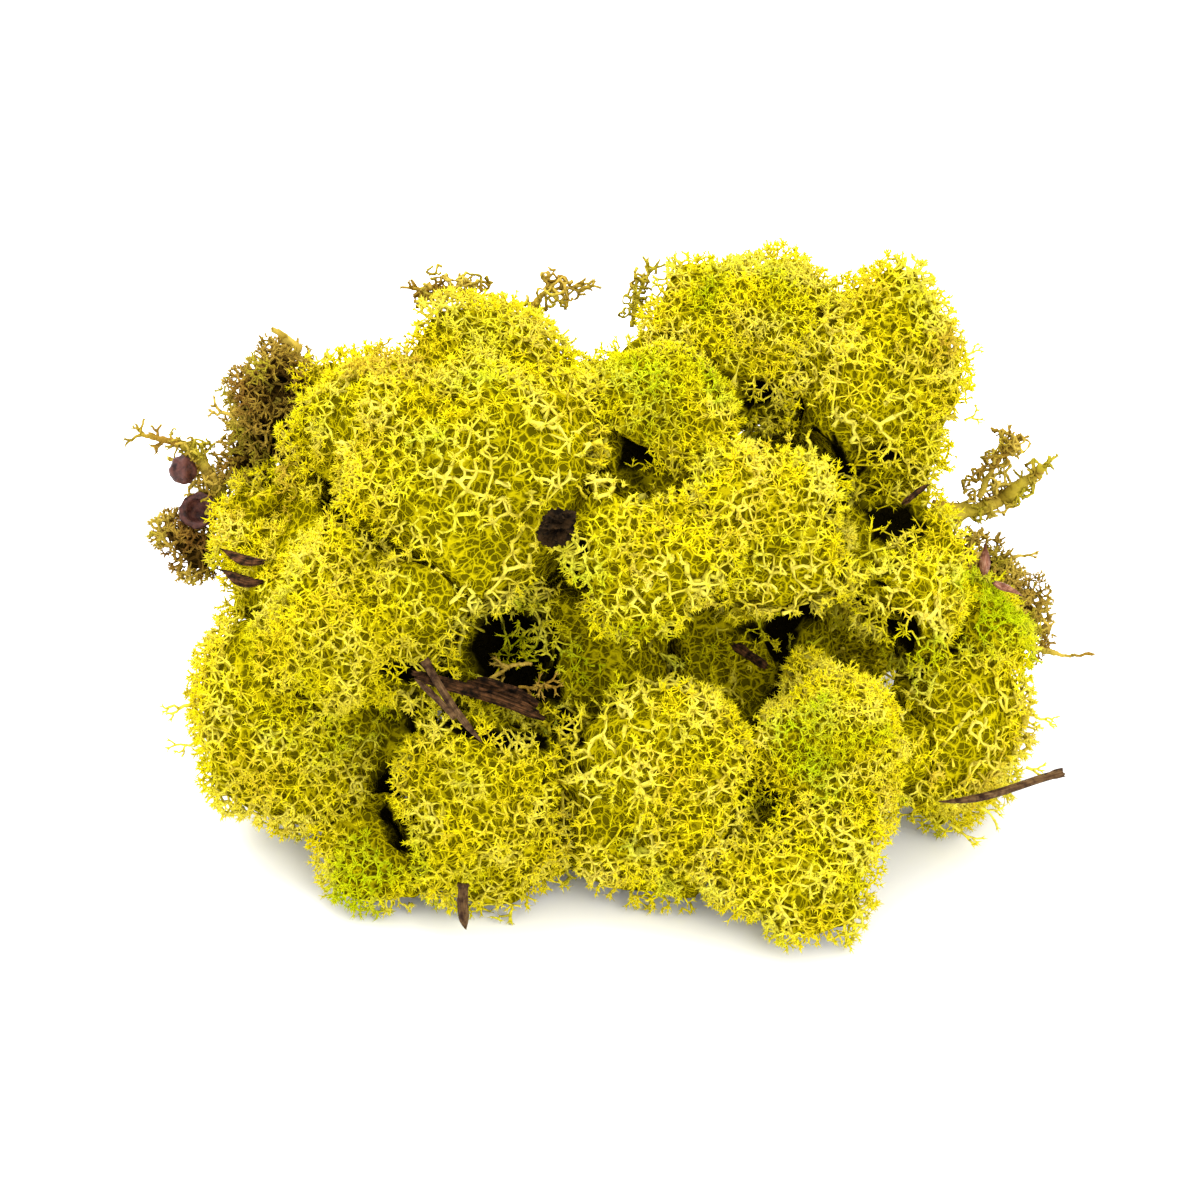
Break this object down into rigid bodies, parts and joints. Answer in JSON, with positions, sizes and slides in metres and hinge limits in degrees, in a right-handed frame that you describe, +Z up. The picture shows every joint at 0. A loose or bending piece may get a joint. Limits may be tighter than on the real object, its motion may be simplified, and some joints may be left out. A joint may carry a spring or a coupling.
{
  "type": "lichen clump",
  "caption": "Heap of lime yellow reindeer lichen cushions pressed together, with dead lichen, pine needles and bark caught between them.",
  "frame": {"origin": "middle of the footprint, on the surface that the heap rests on", "axes": "+Z up, +X to the right and +Y away from someone who looks at the front"},
  "size_m": [0.1952, 0.1342, 0.1097],
  "materials": {
    "lime_lichen": "matte, dyed lime yellow, an open net of fine branches",
    "dead_lichen": "matte, brown and olive",
    "needle": "satin, dry",
    "bark": "matte, ridged",
    "husk": "satin, papery"
  },
  "bodies": {
    "root": {"cushion_upper_left": "lime_lichen", "cushion_upper_left_side": "lime_lichen", "cushion_top_green": "lime_lichen", "cushion_top_middle": "lime_lichen", "cushion_top_right": "lime_lichen", "cushion_middle": "lime_lichen", "cushion_middle_right": "lime_lichen", "cushion_right": "lime_lichen", "cushion_far_right": "lime_lichen", "cushion_left": "lime_lichen", "cushion_left_middle": "lime_lichen", "cushion_lower_left": "lime_lichen", "cushion_bottom_left": "lime_lichen", "cushion_lower_centre": "lime_lichen", "cushion_lower_middle": "lime_lichen", "cushion_lower_right": "lime_lichen", "cushion_right_end": "lime_lichen", "cushion_bottom_right": "lime_lichen", "cushion_inner_left": "lime_lichen", "cushion_inner_right": "lime_lichen", "cushion_back_left": "lime_lichen", "cushion_back_middle": "lime_lichen", "cushion_back_right": "lime_lichen", "dead_lichen_upper_left": "dead_lichen", "dead_lichen_left_low": "dead_lichen", "dead_lichen_right": "dead_lichen", "dead_branch_right": "dead_lichen", "dead_fork_right": "dead_lichen", "dead_tip_right": "dead_lichen", "dead_stalk_left": "dead_lichen", "dead_fork_left": "dead_lichen", "dead_wisp_top_left": "dead_lichen", "dead_wisp_top_right": "dead_lichen", "dead_wisp_top_middle": "dead_lichen", "dead_sprig_upper": "dead_lichen", "dead_sprig_lower": "dead_lichen", "needle_right": "needle", "needle_bottom": "needle", "needle_pair_upper": "needle", "needle_pair_lower": "needle", "bark_strip_back": "bark", "bark_strip_front": "bark", "bark_chip_upper": "bark", "scale_left_upper": "bark", "scale_left_lower": "bark", "twig_stub_middle": "bark", "bark_right_upper": "bark", "husk_upper_left": "husk", "husk_lower_left": "husk", "bud_right_upper": "husk", "bud_right_lower": "husk"}
  },
  "joints": []
}
